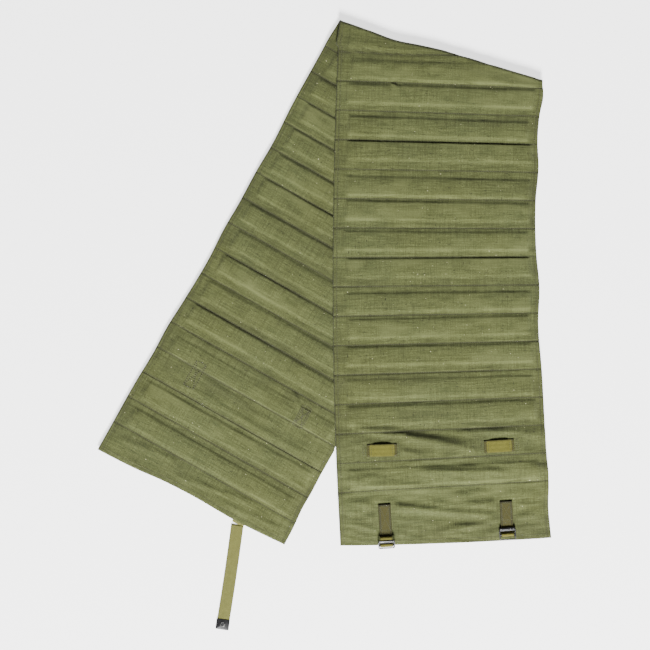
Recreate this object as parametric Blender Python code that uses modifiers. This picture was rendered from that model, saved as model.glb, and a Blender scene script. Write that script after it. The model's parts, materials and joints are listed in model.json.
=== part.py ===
"""Roll-up canvas stretcher mat, folded over once and lying flat.

A long strip of doubled canvas is sewn across into narrow pockets, and a soft stiffening strip fills almost every
pocket. The mat bends at the seams between the pockets. Two webbing straps with metal tips are sewn near one end,
and two keepers and two buckles near the other, so that the rolled mat can be strapped up.

The mat is folded over on a slanting crease. The lower leg lies on the floor, with its two straps under it. The
upper leg lies on top and bows slightly sideways. +Z is up, z = 0 is the floor and +Y points from the free ends
towards the crease. The origin is at the bottom centre of the whole folded mat. Every leg is built in hinge frames:
in each of them X runs along the seam, -Y runs down the leg, away from the crease, and Z is the mat's upper side.
"""

import math

import bmesh
import bpy
from mathutils import Matrix, Vector

MM = 0.001

# The mat.
MAT_WIDTH = 410 * MM
PITCH = 57.5 * MM  # from seam to seam
SEAM_GAP = 2.0 * MM  # left free between two pocket covers, so that they can bend
SEAM_HALF = 0.75 * MM  # half the thickness of the sewn seam
SEAM_FLAT = 4.5 * MM  # from the seam line to where the pocket starts to swell
RAMP = 5.0 * MM  # length of the slope up to the full thickness
POCKET_HALF = 3.8 * MM  # half the thickness of a pocket with its strip in
EMPTY_HALF = 1.5 * MM  # half the thickness of a pocket without a strip
FLAP_HALF = 1.0 * MM
LYING_GAP = 0.8 * MM  # between the two legs

# The stiffening strips.
STRIP_WIDTH = 38 * MM
STRIP_THICKNESS = 5 * MM
STRIP_LEFT_MARGIN = 24 * MM  # from the mat's left edge to the strip's end
STRIP_RIGHT_MARGIN = 20 * MM
STRIP_ROUNDING = 1.2 * MM
CLEARANCE = 0.3 * MM  # between touching pieces

# The pockets, counted from the crease.
UPPER_POCKETS = 14
KEEPER_POCKET = 13  # holds no strip, and carries the two strap keepers
FLAP_LENGTH = 2 * PITCH
LOWER_POCKETS = 14  # in the one stiff piece of the lower leg; the last one holds no strip
LOWER_END_POCKETS = (15, 16)
END_HEM = 55 * MM  # past the last strip pocket of the lower leg

# The slanting crease.
CREASE_CENTRE = Vector((232.9 * MM, 552.85 * MM))
CREASE_YAW = math.radians(-15.8)
FOLD_ANGLE = math.radians(13.6)  # between the crease and the seams of either leg
CREASE_TO_UPPER_SEAM = 68 * MM  # along the middle of the upper leg
CREASE_TO_LOWER_SEAM = 2 * PITCH - CREASE_TO_UPPER_SEAM
COVER_SETBACK = 1.5 * MM  # of each leg's cover from the crease line
STRIP_SETBACK = 7 * MM

# How the legs lie.
BOW_STEP = math.radians(0.4)  # turn from each seam of the upper leg to the next
LAST_POCKET_SLOPE = math.radians(3.5)  # the free end comes down to the floor
FLAP_SLOPE = math.radians(1.55)  # steeper than the last pocket by this much

# Webbing.
WEB_WIDTH = 25 * MM
WEB_THICKNESS = 1.4 * MM

# Keepers: arches of webbing that the straps pass under.
KEEPER_LENGTH = 60 * MM
KEEPER_FOOT = 11 * MM
KEEPER_RISE = 4.6 * MM
KEEPER_RAMP = 4 * MM
KEEPERS = {"left": (-117 * MM, -36 * MM), "right": (117 * MM, -38 * MM)}

# Buckles, each held in the looped end of a webbing tab: the place of the bar in the loop, and how far the buckle
# is rocked on it.
BUCKLES = {
    "left": (-118 * MM, -110 * MM, math.radians(40)),
    "right": (125 * MM, -103 * MM, 0.0),
}
TAB_LENGTHS = {"left": 82 * MM, "right": 67 * MM}  # from the tab's sewn end to the bar
TAB_ROOM = 1.5 * MM  # further from the bar than the grip bar starts, where the tab's under layer turns up
LOOP_BAR_RADIUS = 2.2 * MM
LOOP_BAR_LIFT = 6.0 * MM  # height of the bar's axis over the flap
BUCKLE_WIRE_RADIUS = 1.2 * MM
BUCKLE_HALF_WIDTH = 15.6 * MM  # to the middle of the side wires
BUCKLE_FREE_END = 10.2 * MM  # from the bar in the loop to the free end's wire
BUCKLE_GRIP_START = 7.5 * MM  # from the bar in the loop to the near side of the grip bar
BUCKLE_GRIP_DEPTH = 6.5 * MM
BUCKLE_GRIP_TOP = 1.1 * MM  # of the grip bar over the bar's axis, and its underside below it
BUCKLE_GRIP_UNDER = 1.7 * MM
BUCKLE_CORNER = 3.5 * MM

# Straps under the lower leg, and their metal tips.
STRAP_CLEAR = 3.2 * MM  # height of the lower leg's underside, which leaves room for the straps
STRAP_A_X = -111 * MM
STRAP_A_SEWN_END = -836 * MM
STRAP_A_LENGTH = 470 * MM
STRAP_B_X = 111 * MM
STRAP_B_SEWN_END = -770 * MM
STRAP_TAIL_TURN = math.radians(21)  # the free tail turns this far from the leg's direction
STRAP_TAIL_LENGTH = 208 * MM
STRAP_TAIL_START = 5 * MM  # past the mat's end, where the tail hinges
TIP_LENGTH = 21 * MM
TIP_WALL = 0.5 * MM
TIP_OVERLAP = 16 * MM  # of the webbing inside the tip
TIP_ROUNDING = 0.4 * MM

LOWER_Z = STRAP_CLEAR + POCKET_HALF
UPPER_Z = LOWER_Z + 2 * POCKET_HALF + LYING_GAP
LEG_LENGTH = CREASE_TO_LOWER_SEAM + (LOWER_POCKETS + len(LOWER_END_POCKETS)) * PITCH + END_HEM
REACH = 0.6  # larger than any piece that is trimmed

# How a flat outline is stood up: its two directions and the extrusion take these axes.
SIDE_VIEW = Matrix(((0, 0, 1, 0), (1, 0, 0, 0), (0, 1, 0, 0), (0, 0, 0, 1)))
END_VIEW = Matrix.Rotation(math.pi / 2, 4, "X")

COLORS = {
    "canvas": ((0.17, 0.17, 0.06), 0.95, 0.0),
    "felt": ((0.32, 0.28, 0.20), 1.0, 0.0),
    "webbing": ((0.36, 0.33, 0.09), 0.9, 0.0),
    "black_metal": ((0.02, 0.02, 0.022), 0.45, 0.7),
}


def clear_scene():
    for item in list(bpy.data.objects):
        bpy.data.objects.remove(item, do_unlink=True)


def new_collection(name):
    made = bpy.data.collections.new(name)
    bpy.context.scene.collection.children.link(made)
    return made


def new_material(name, kind):
    color, roughness, metallic = COLORS[kind]
    made = bpy.data.materials.new(name)
    made.use_nodes = True
    shader = made.node_tree.nodes["Principled BSDF"]
    shader.inputs["Base Color"].default_value = (*color, 1)
    shader.inputs["Roughness"].default_value = roughness
    shader.inputs["Metallic"].default_value = metallic
    return made


def hinge(name, parent, location, rotation):
    """An empty on a bending line. The pieces past that line are its children."""
    made = bpy.data.objects.new(name, None)
    made.empty_display_size = PITCH
    made.parent = parent
    made.location = location
    made.rotation_euler = rotation
    PARTS.objects.link(made)
    return made


def piece(name, mesh, kind, parent):
    mesh.materials.append(new_material(name, kind))
    made = bpy.data.objects.new(name, mesh)
    made.parent = parent
    PARTS.objects.link(made)
    return made


def cutter(name, mesh, parent):
    made = bpy.data.objects.new(name, mesh)
    made.parent = parent
    made.hide_render = True
    made.display_type = "WIRE"
    CUTTERS.objects.link(made)
    return made


def boolean(target, other, operation):
    change = target.modifiers.new(operation.lower(), "BOOLEAN")
    change.operation = operation
    change.object = other
    change.solver = "EXACT"


def rounded(target, width):
    change = target.modifiers.new("rounded_edges", "BEVEL")
    change.width = width
    change.segments = 2
    change.limit_method = "ANGLE"


def box_mesh(name, *boxes):
    """One mesh of boxes, each given by its lowest and highest corner."""
    made = bpy.data.meshes.new(name)
    shape = bmesh.new()
    for low, high in boxes:
        low, high = Vector(low), Vector(high)
        place = Matrix.Translation((low + high) / 2) @ Matrix.Diagonal((*(high - low), 1))
        bmesh.ops.create_cube(shape, size=1, matrix=place)
    shape.to_mesh(made)
    shape.free()
    return made


def mesh_of_curve(name, curve, turn):
    """The closed mesh of a curve, with its caps welded on."""
    source = bpy.data.objects.new(name, curve)
    PARTS.objects.link(source)
    evaluated = source.evaluated_get(bpy.context.evaluated_depsgraph_get())
    made = bpy.data.meshes.new_from_object(evaluated)
    made.name = name
    bpy.data.objects.remove(source)
    shape = bmesh.new()
    shape.from_mesh(made)
    bmesh.ops.remove_doubles(shape, verts=shape.verts, dist=0.01 * MM)
    bmesh.ops.recalc_face_normals(shape, faces=shape.faces)
    shape.to_mesh(made)
    shape.free()
    made.transform(turn)
    return made


def prism(name, outline, width, turn):
    """A flat outline extruded to a width."""
    made = bpy.data.meshes.new(name)
    shape = bmesh.new()
    base = shape.faces.new([shape.verts.new((*place, -width / 2)) for place in outline])
    grown = bmesh.ops.extrude_face_region(shape, geom=[base], use_keep_orig=True)
    moved = [part for part in grown["geom"] if isinstance(part, bmesh.types.BMVert)]
    bmesh.ops.translate(shape, vec=(0, 0, width), verts=moved)
    bmesh.ops.recalc_face_normals(shape, faces=shape.faces)
    shape.to_mesh(made)
    shape.free()
    made.transform(turn)
    return made


def extruded(name, outlines, width, turn):
    """A flat outline, and the outlines of its holes, extruded to a width."""
    curve = bpy.data.curves.new(name, "CURVE")
    curve.dimensions = "2D"
    curve.fill_mode = "BOTH"
    curve.extrude = width / 2
    for outline in outlines:
        spline = curve.splines.new("POLY")
        spline.points.add(len(outline) - 1)
        for point, place in zip(spline.points, outline):
            point.co = (*place, 0, 1)
        spline.use_cyclic_u = True
    return mesh_of_curve(name, curve, turn)


def arc(centre, radius, start, end, steps):
    """Points along an arc, from one angle in degrees to another."""
    angles = [math.radians(start + (end - start) * i / steps) for i in range(steps + 1)]
    return [(centre[0] + radius * math.cos(a), centre[1] + radius * math.sin(a)) for a in angles]


def cover_outline(near_end, far_end, seams, halves):
    """Side view of canvas: thin at each seam, and swelling between them to each pocket's half thickness."""
    top = [(near_end, SEAM_HALF)]
    for near, far, half in zip(seams, seams[1:], halves):
        top.append((near - SEAM_FLAT, SEAM_HALF))
        top.append((near - SEAM_FLAT - RAMP, half))
        top.append((far + SEAM_FLAT + RAMP, half))
        top.append((far + SEAM_FLAT, SEAM_HALF))
    top.append((far_end, SEAM_HALF))
    return top + [(y, -z) for y, z in reversed(top)]


def seam_lines(first, count):
    return [first - i * PITCH for i in range(count + 1)]


def strip_box(near_seam, clearance):
    """The strip in the pocket that starts at this seam, or its cavity, which opens at the mat's right edge."""
    middle = near_seam - PITCH / 2
    half_width = STRIP_WIDTH / 2 + clearance
    half_height = STRIP_THICKNESS / 2 + clearance
    left = -MAT_WIDTH / 2 + STRIP_LEFT_MARGIN - clearance
    right = MAT_WIDTH / 2 - STRIP_RIGHT_MARGIN
    if clearance:
        right = MAT_WIDTH
    return (left, middle - half_width, -half_height), (right, middle + half_width, half_height)


def strip(name, near_seam, parent):
    low, high = strip_box(near_seam, 0)
    made = piece(name, box_mesh(name, (low, high)), "felt", parent)
    rounded(made, STRIP_ROUNDING)
    return made


def cover(name, outline, stuffed_seams, parent):
    """A canvas cover, hollow where it holds strips."""
    made = piece(name, prism(name, outline, MAT_WIDTH, SIDE_VIEW), "canvas", parent)
    if stuffed_seams:
        hollows = [strip_box(seam, CLEARANCE) for seam in stuffed_seams]
        boolean(made, cutter(name + "_hollows", box_mesh(name + "_hollows", *hollows), parent), "DIFFERENCE")
    return made


def crease_cutter(name, setback, crease):
    """Everything past a line that runs along the crease at this setback."""
    low, high = (-REACH, -setback, -REACH), (REACH, REACH, REACH)
    return cutter(name, box_mesh(name, (low, high)), crease)


def build_upper_leg(crease, cover_trim, strip_trim):
    """The leg on top: the part at the crease, fourteen pockets, and the flap with the buckles."""
    fold = hinge("main_fold", crease, (0, 0, 0), (0, 0, 0))
    leg = hinge("upper_leg", fold, (0, 0, (UPPER_Z - LOWER_Z) / 2), (0, 0, FOLD_ANGLE))
    seams = [2 * PITCH - CREASE_TO_UPPER_SEAM, PITCH - CREASE_TO_UPPER_SEAM, -CREASE_TO_UPPER_SEAM]
    outline = cover_outline(REACH / 2, seams[-1] + SEAM_GAP / 2, seams, [POCKET_HALF, POCKET_HALF])
    boolean(cover("fold_cover_upper", outline, [seams[1]], leg), cover_trim, "DIFFERENCE")
    boolean(strip("fold_strip_upper", seams[1], leg), strip_trim, "DIFFERENCE")

    parent = hinge("upper_seam_01", leg, (0, -CREASE_TO_UPPER_SEAM, 0), (0, 0, 0))
    for number in range(1, UPPER_POCKETS + 1):
        stuffed = number != KEEPER_POCKET
        half = POCKET_HALF if stuffed else EMPTY_HALF
        outline = cover_outline(-SEAM_GAP / 2, -PITCH + SEAM_GAP / 2, [0, -PITCH], [half])
        cover(f"upper_pocket_{number:02d}", outline, [0] if stuffed else [], parent)
        if stuffed:
            strip(f"upper_strip_{number:02d}", 0, parent)
        else:
            build_keepers(parent)
        slope = 0
        if number == UPPER_POCKETS - 1:
            slope = LAST_POCKET_SLOPE
        elif number == UPPER_POCKETS:
            slope = FLAP_SLOPE
        parent = hinge(f"upper_seam_{number + 1:02d}", parent, (0, -PITCH, 0), (slope, 0, BOW_STEP))
    outline = cover_outline(-SEAM_GAP / 2, -FLAP_LENGTH, [0, -FLAP_LENGTH], [FLAP_HALF])
    cover("buckle_flap", outline, [], parent)
    build_buckles(parent)


def build_keepers(parent):
    """Two arches of webbing across the leg, sewn down at both feet."""
    for side, (x, y) in KEEPERS.items():
        half = KEEPER_LENGTH / 2
        rise_start = half - KEEPER_FOOT
        rise_end = rise_start - KEEPER_RAMP
        under = [(-rise_start, 0), (-rise_end, KEEPER_RISE), (rise_end, KEEPER_RISE), (rise_start, 0)]
        over = [(x, z + WEB_THICKNESS) for x, z in reversed(under)]
        outline = [(-half, 0), *under, (half, 0), (half, WEB_THICKNESS), *over, (-half, WEB_THICKNESS)]
        name = "keeper_" + side
        made = piece(name, prism(name, outline, WEB_WIDTH, END_VIEW), "webbing", parent)
        made.location = (x, y, EMPTY_HALF + CLEARANCE)


def tangent_from(place, radius, side):
    """The angle at which a line from this place touches a circle round the origin, in degrees."""
    away = math.acos(radius / math.hypot(*place))
    return math.degrees(math.atan2(place[1], place[0]) + side * away)


def tab_outlines(length):
    """Side view of a doubled webbing tab whose end loops round a bar at the origin; the tab runs up the leg."""
    inner = LOOP_BAR_RADIUS + CLEARANCE
    outer = inner + WEB_THICKNESS
    low = CLEARANCE - LOOP_BAR_LIFT
    high = low + 2 * WEB_THICKNESS
    over = (BUCKLE_GRIP_START, high)
    under = (BUCKLE_GRIP_START + TAB_ROOM, low)
    loop = arc((0, 0), outer, tangent_from(over, outer, 1), 360 + tangent_from(under, outer, -1), 18)
    return [[(length, high), over, *loop, under, (length, low)], arc((0, 0), inner, 360, 20, 17)]


def buckle_frame_mesh(name):
    """A flat ring of round wire with round corners."""
    half = BUCKLE_HALF_WIDTH - BUCKLE_CORNER
    near = BUCKLE_GRIP_START + BUCKLE_GRIP_DEPTH / 2 - BUCKLE_CORNER
    far = BUCKLE_CORNER - BUCKLE_FREE_END
    corners = [(half, near), (-half, near), (-half, far), (half, far)]
    route = []
    for quarter, centre in enumerate(corners):
        route += arc(centre, BUCKLE_CORNER, 90 * quarter, 90 * quarter + 90, 3)
    curve = bpy.data.curves.new(name, "CURVE")
    curve.dimensions = "3D"
    curve.bevel_depth = BUCKLE_WIRE_RADIUS
    curve.bevel_resolution = 2
    spline = curve.splines.new("POLY")
    spline.points.add(len(route) - 1)
    for point, place in zip(spline.points, route):
        point.co = (*place, 0, 1)
    spline.use_cyclic_u = True
    return mesh_of_curve(name, curve, Matrix())


def rod_mesh(name, radius, length):
    """A round bar along X."""
    made = bpy.data.meshes.new(name)
    shape = bmesh.new()
    bmesh.ops.create_cone(
        shape,
        cap_ends=True,
        segments=16,
        radius1=radius,
        radius2=radius,
        depth=length,
        matrix=Matrix.Rotation(math.pi / 2, 4, "Y"),
    )
    shape.to_mesh(made)
    shape.free()
    return made


def build_buckles(flap):
    """Two tabs sewn to the flap, and in each tab's loop a buckle that rocks on its middle bar."""
    grip_low = (-BUCKLE_HALF_WIDTH, BUCKLE_GRIP_START, -BUCKLE_GRIP_UNDER)
    grip_high = (BUCKLE_HALF_WIDTH, BUCKLE_GRIP_START + BUCKLE_GRIP_DEPTH, BUCKLE_GRIP_TOP)
    for side, (x, y, rocked) in BUCKLES.items():
        bar = (x, y, FLAP_HALF + LOOP_BAR_LIFT)
        name = "buckle_tab_" + side
        outlines = tab_outlines(TAB_LENGTHS[side])
        tab = piece(name, extruded(name, outlines, WEB_WIDTH, SIDE_VIEW), "webbing", flap)
        tab.location = bar

        pivot = hinge("buckle_pivot_" + side, flap, bar, (rocked, 0, 0))
        name = "buckle_" + side
        frame = piece(name, buckle_frame_mesh(name), "black_metal", pivot)
        rod = rod_mesh(name + "_loop_bar", LOOP_BAR_RADIUS, 2 * BUCKLE_HALF_WIDTH)
        boolean(frame, cutter(name + "_loop_bar", rod, pivot), "UNION")
        grip = cutter(name + "_grip", box_mesh(name + "_grip", (grip_low, grip_high)), pivot)
        rounded(grip, BUCKLE_WIRE_RADIUS / 2)
        boolean(frame, grip, "UNION")


def webbing(name, x, near, far, z, parent):
    low = (x - WEB_WIDTH / 2, far, z - WEB_THICKNESS / 2)
    high = (x + WEB_WIDTH / 2, near, z + WEB_THICKNESS / 2)
    return piece(name, box_mesh(name, (low, high)), "webbing", parent)


def strap_with_tip(name, place, turn, length, parent):
    """A strap that runs down its own hinge frame into a folded metal tip, with a slight rise to the tip's slot."""
    lift = math.asin((CLEARANCE + TIP_WALL) / (length - TIP_OVERLAP))
    frame = hinge(name + "_frame", parent, place, (-lift, 0, turn))
    webbing(name, 0, 0, -length, 0, frame)

    tip_name = name + "_tip"
    mouth = TIP_OVERLAP - length
    half_slot = WEB_THICKNESS / 2 + CLEARANCE
    half_slot_width = WEB_WIDTH / 2 + CLEARANCE
    half_height = half_slot + TIP_WALL
    half_width = half_slot_width + TIP_WALL
    tip_box = ((-half_width, mouth - TIP_LENGTH, -half_height), (half_width, mouth, half_height))
    slot_box = ((-half_slot_width, -length - CLEARANCE, -half_slot), (half_slot_width, 0, half_slot))
    tip = piece(tip_name, box_mesh(tip_name, tip_box), "black_metal", frame)
    rounded(tip, TIP_ROUNDING)
    slot = cutter(tip_name + "_slot", box_mesh(tip_name + "_slot", slot_box), frame)
    boolean(tip, slot, "DIFFERENCE")


def build_lower_leg(crease, cover_trim, strip_trim):
    """The leg on the floor: one long stiff piece, two end pockets that curl up, and the two straps."""
    leg = hinge("lower_leg", crease, (0, 0, (LOWER_Z - UPPER_Z) / 2), (0, 0, -FOLD_ANGLE))
    first = 2 * PITCH - CREASE_TO_LOWER_SEAM
    seams = seam_lines(first, LOWER_POCKETS + 2)
    halves = [POCKET_HALF] * (LOWER_POCKETS + 1) + [EMPTY_HALF]
    outline = cover_outline(REACH / 2, seams[-1] + SEAM_GAP / 2, seams, halves)
    boolean(cover("lower_cover", outline, seams[1:-2], leg), cover_trim, "DIFFERENCE")
    boolean(strip("fold_strip_lower", seams[1], leg), strip_trim, "DIFFERENCE")
    for number, seam in enumerate(seams[2:-2], 1):
        strip(f"lower_strip_{number:02d}", seam, leg)

    parent, y = leg, seams[-1]
    for number in LOWER_END_POCKETS:
        parent = hinge(f"lower_seam_{number}", parent, (0, y, 0), (0, 0, 0))
        y = -PITCH
        if number == LOWER_END_POCKETS[-1]:
            ends = [0, -PITCH, -PITCH - END_HEM]
            outline = cover_outline(-SEAM_GAP / 2, ends[-1], ends, [POCKET_HALF, FLAP_HALF])
        else:
            outline = cover_outline(-SEAM_GAP / 2, -PITCH + SEAM_GAP / 2, [0, -PITCH], [POCKET_HALF])
        cover(f"lower_pocket_{number}", outline, [0], parent)
        strip(f"lower_strip_{number}", 0, parent)
    build_straps(leg)


def build_straps(leg):
    """Strap A lies wholly under the leg. Strap B runs out past the leg's end, and its tail lifts there."""
    flat = WEB_THICKNESS / 2 - LOWER_Z
    strap_with_tip("strap_a", (STRAP_A_X, STRAP_A_SEWN_END, flat), math.pi, STRAP_A_LENGTH, leg)
    webbing("strap_b_root", STRAP_B_X, STRAP_B_SEWN_END, -LEG_LENGTH, flat, leg)
    tail_start = (STRAP_B_X, -LEG_LENGTH - STRAP_TAIL_START, flat)
    strap_with_tip("strap_b_tail", tail_start, STRAP_TAIL_TURN, STRAP_TAIL_LENGTH, leg)


clear_scene()
PARTS = new_collection("stretcher_mat")
CUTTERS = new_collection("cutters")
CREASE = hinge("crease", None, (*CREASE_CENTRE, (LOWER_Z + UPPER_Z) / 2), (0, 0, CREASE_YAW))
COVER_TRIM = crease_cutter("past_cover_edge", COVER_SETBACK, CREASE)
STRIP_TRIM = crease_cutter("past_strip_end", STRIP_SETBACK, CREASE)
build_lower_leg(CREASE, COVER_TRIM, STRIP_TRIM)
build_upper_leg(CREASE, COVER_TRIM, STRIP_TRIM)
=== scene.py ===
"""Roll-up canvas stretcher mat, folded over once and lying on a pale floor.

The mat is one long doubled strip of canvas. A point of it is given by U, across the mat, and S, along the
unfolded mat: S is positive on the upper leg, negative on the lower leg, and the crease is the line
S = U tan(FOLD). The mat has two cloths: A is the upper face of the upper leg, and B is the face that shows on
the lower leg. Lengths are in millimetres until a mesh is made.
"""

import json
import math

import bpy
import numpy as np
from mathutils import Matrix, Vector

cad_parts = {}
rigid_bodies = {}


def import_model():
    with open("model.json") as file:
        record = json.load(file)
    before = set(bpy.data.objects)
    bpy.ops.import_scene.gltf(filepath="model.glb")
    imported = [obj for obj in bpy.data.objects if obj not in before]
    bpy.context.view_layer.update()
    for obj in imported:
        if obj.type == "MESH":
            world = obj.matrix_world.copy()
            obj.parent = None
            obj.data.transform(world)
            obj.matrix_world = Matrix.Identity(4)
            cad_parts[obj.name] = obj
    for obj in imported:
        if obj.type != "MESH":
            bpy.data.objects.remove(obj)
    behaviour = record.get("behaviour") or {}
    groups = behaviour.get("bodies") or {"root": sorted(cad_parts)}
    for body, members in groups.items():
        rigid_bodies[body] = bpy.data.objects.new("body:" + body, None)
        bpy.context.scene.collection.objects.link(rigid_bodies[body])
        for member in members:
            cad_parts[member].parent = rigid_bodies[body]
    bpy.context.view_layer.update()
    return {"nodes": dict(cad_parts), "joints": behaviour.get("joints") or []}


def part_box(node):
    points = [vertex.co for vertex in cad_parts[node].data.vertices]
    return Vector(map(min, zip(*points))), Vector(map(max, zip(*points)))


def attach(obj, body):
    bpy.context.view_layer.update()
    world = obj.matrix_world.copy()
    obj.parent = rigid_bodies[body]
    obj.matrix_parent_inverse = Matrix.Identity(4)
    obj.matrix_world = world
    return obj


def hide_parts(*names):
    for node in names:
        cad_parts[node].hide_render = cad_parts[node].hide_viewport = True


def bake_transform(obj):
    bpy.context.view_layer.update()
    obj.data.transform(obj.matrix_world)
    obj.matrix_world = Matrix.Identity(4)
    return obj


for item in list(bpy.data.objects):
    bpy.data.objects.remove(item, do_unlink=True)

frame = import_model()
JOINTS = {joint["name"]: joint for joint in frame["joints"]}

MM = 0.001

# The mat.
HALF_WIDTH = 205.0
PITCH = 57.5
FOLD = math.radians(13.6)  # between the crease and the seams of either leg
FOLD_RADIUS = 4.2
FIRST_SEAM = 68.0  # S of the first seam of the upper leg
UPPER_POCKETS = 14
LOWER_POCKETS = 16
FLAP_END = FIRST_SEAM + (UPPER_POCKETS + 2) * PITCH
LOWER_SEAMS_FROM = -47.0
LOWER_END = -1022.0
CLOTH_HALF = 1.1  # half the thickness of the two cloths where nothing is between them
SEAM_DEPTH = 0.75
SEAM_WIDTH = 1.8
HEM_WIDTH = 7.0
HEM_RISE = 0.35
HEM_GROOVE = 0.35  # depth of the line of sewing along the hem
DROOP = 1.9  # of the mat's unfilled margins
MOST_HALF = 4.6  # the most that either cloth stands off the mat's middle plane
FOLD_PIECE = (-90.0, 59.0)  # S at the two ends of the crease's own piece of canvas

# The strips. Each lies a little differently in its pocket: the gaps are from the seam nearer the crease to
# the strip, and None is a pocket with no strip.
STRIP_WIDTH = 37.0
STRIP_RISE = 3.4
STRIP_RAMP = 7.0
STRIP_CROWN = 0.42  # how much lower the cloth lies at a strip's edges than over its middle
STRIP_EDGE = 2.2  # the ridge along a strip's edge: how far inside the edge, and how wide
EDGE_WIDTH = 1.7
STRIP_LEFT = -181.0
STRIP_RIGHT = 189.0
UPPER_GAPS = (16, 6, 13, 2, 16, 6, 8, 3, 14, 7, 5, 12, 6, None, 15)  # from the pocket at the crease on
LOWER_GAPS = (4.5, 4.5, 4, 4, 4.5, 4, 3, 4, 6, 3, 6, 4, 20, None, 11, 14)

# Where the outline departs from a straight strip: place along the mat, or across it, and how far outwards.
UPPER_RIGHT_EDGE = ((68, 7), (126, -3.4), (183, -5.5), (226, -2.3), (298, -6.8), (413, -4.3), (470, 1),
                    (557, -2), (643, 2.7), (816, 6), (873, 8), (930, 4.8), (988, 7.6))
UPPER_LEFT_EDGE = ((68, 0), (300, 0), (815, 3.6), (988, 5))
LOWER_LEFT_EDGE = ((60, 4.8), (90, 3.2), (240, 1.2), (330, -2.7), (390, -1.5), (465, -2.8), (525, -1.9),
                   (585, -4.7), (690, -2.1), (750, 0.9), (810, -0.3), (870, 1.7), (990, 1.6))
LOWER_RIGHT_EDGE = ((860, 2), (905, 3.3), (929, 2.8), (977, 6.2), (1022, 7.3))
CREASE_LINE = ((-210, 4.7), (-150, 0), (-90, -4.4), (-45, -0.9), (0, 1.6), (60, 1.7), (120, 0), (210, -1.2))
LOWER_END_LINE = ((-205, 11), (-120, 7), (-60, 1), (0, -1.5), (100, -0.5), (205, -6.5))
FLAP_END_LINE = ((-205, -7.5), (-120, -3.5), (0, 0), (100, 1.5), (205, 2))

# Webbing and its sewing.
WEB_HALF_WIDTH = 12.5
WEB_HALF = 0.7
TAIL_REACH = 4.6  # how far strap B's sewn part runs on past its CAD solid
KEEPER_HALF_LENGTH = 30.0
KEEPER_FOOT = 11.0
KEEPER_SEWN = (31.5, 35.5)  # the two rows past each end, from the keeper's middle
KEEPER_RAMP = 4.0
KEEPER_RISE = 4.6
KEEPER_SAG = 0.55  # share of its rise that an empty keeper keeps
STITCH = 3.7
STITCH_PITCH = 4.5
THREAD = 0.4  # its radius
TWIN_ROW = 0.7  # of two rows of stitches side by side, from their middle
STITCH_LIFT = (-0.15, 0.22, -0.15)  # of a stitch's two ends and middle over the cloth
END_HEM = 9.0  # from either end of the mat to the sewing of its hem

# Strap tips, and the ring rivet through each.
TIP_HALF_WIDTH = 13.2
TIP_HALF = 10.5
TIP_FACE = 1.5
RIVET = 3.9
RIVET_WIRE = 0.95

# Buckles, in the frame of the bar that each rocks on.
LOOP_BAR_RADIUS = 2.2
LOOP_RADIUS = 3.2
TAB_LAYERS = (-5.0, -3.6)
RING_WIRE = 1.2
RING_HALF_WIDTH = 15.6
RING_CORNER = 3.5
RING_FAR = -10.2
GRIP_START = 7.5
GRIP_DEPTH = 6.5
GRIP_TOP = 1.1
GRIP_UNDER = 1.7


def smooth(x):
    x = np.clip(x, 0, 1)
    return x * x * (3 - 2 * x)


def bell(away, width):
    return np.exp(-((away / width) ** 2))


def along(curve, places):
    """A smooth line through a few points, read at these places."""
    xs = np.array([x for x, _ in curve], float)
    ys = np.array([y for _, y in curve], float)
    slopes = np.gradient(ys, xs)
    places = np.clip(places, xs[0], xs[-1])
    i = np.clip(np.searchsorted(xs, places) - 1, 0, len(xs) - 2)
    span = xs[i + 1] - xs[i]
    t = (places - xs[i]) / span
    straight = (1 + 2 * t) * (1 - t) ** 2 * ys[i] + t * t * (3 - 2 * t) * ys[i + 1]
    return straight + span * (t * (1 - t) ** 2 * slopes[i] + t * t * (t - 1) * slopes[i + 1])


def noise(u, s, size_u, size_s, seed):
    """Smooth random values from -1 to 1, with features of this size."""
    lattice = np.random.default_rng(seed).uniform(-1, 1, (64, 64))
    x, y = u / size_u + 1000.37, s / size_s + 1000.71
    i, j = np.floor(x).astype(int), np.floor(y).astype(int)
    fx, fy = smooth(x - i), smooth(y - j)
    i, j = i % 64, j % 64
    k, m = (i + 1) % 64, (j + 1) % 64
    low = lattice[i, j] * (1 - fx) + lattice[k, j] * fx
    high = lattice[i, m] * (1 - fx) + lattice[k, m] * fx
    return low * (1 - fy) + high * fy


def vec(values):
    return np.array(values, float)


def joint_place(name):
    return vec(JOINTS[name]["pos_m"]) / MM


def joint_across(name):
    return -vec(JOINTS[name]["axis"])


UP = vec((0, 0, 1))
CREASE = joint_place("main_fold")
CREASE_X = joint_across("main_fold")
CREASE_Y = np.cross(UP, CREASE_X)
LOWER_X = joint_across("lower_seam_15")
LOWER_Y = np.cross(UP, LOWER_X)
HINGES = [f"upper_seam_{n:02d}" for n in range(1, UPPER_POCKETS + 2)]
HINGE_PLACES = np.array([joint_place(name) for name in HINGES])
HINGE_ACROSS = np.array([joint_across(name) for name in HINGES])
FLAP_TIP_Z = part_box("buckle_flap")[0].z / MM + 1.0
FLAP_DROP = HINGE_PLACES[-1][2] - FLAP_TIP_Z
FLAP_DOWN = np.cross(HINGE_ACROSS[-1], UP)
FLAP_DOWN = FLAP_DOWN * math.sqrt((2 * PITCH) ** 2 - FLAP_DROP**2) - UP * FLAP_DROP
LINE_PLACES = np.vstack([HINGE_PLACES, HINGE_PLACES[-1] + FLAP_DOWN])
LINE_ACROSS = np.vstack([HINGE_ACROSS, HINGE_ACROSS[-1:]])
LINE_S = vec([FIRST_SEAM + PITCH * n for n in range(UPPER_POCKETS + 1)] + [FLAP_END])
SEAMS = [FIRST_SEAM + PITCH * n for n in range(-2, UPPER_POCKETS + 1)]
SEAMS += [LOWER_SEAMS_FROM - PITCH * n for n in range(1, LOWER_POCKETS + 1)]
SEAMS = sorted(SEAMS)
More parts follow.
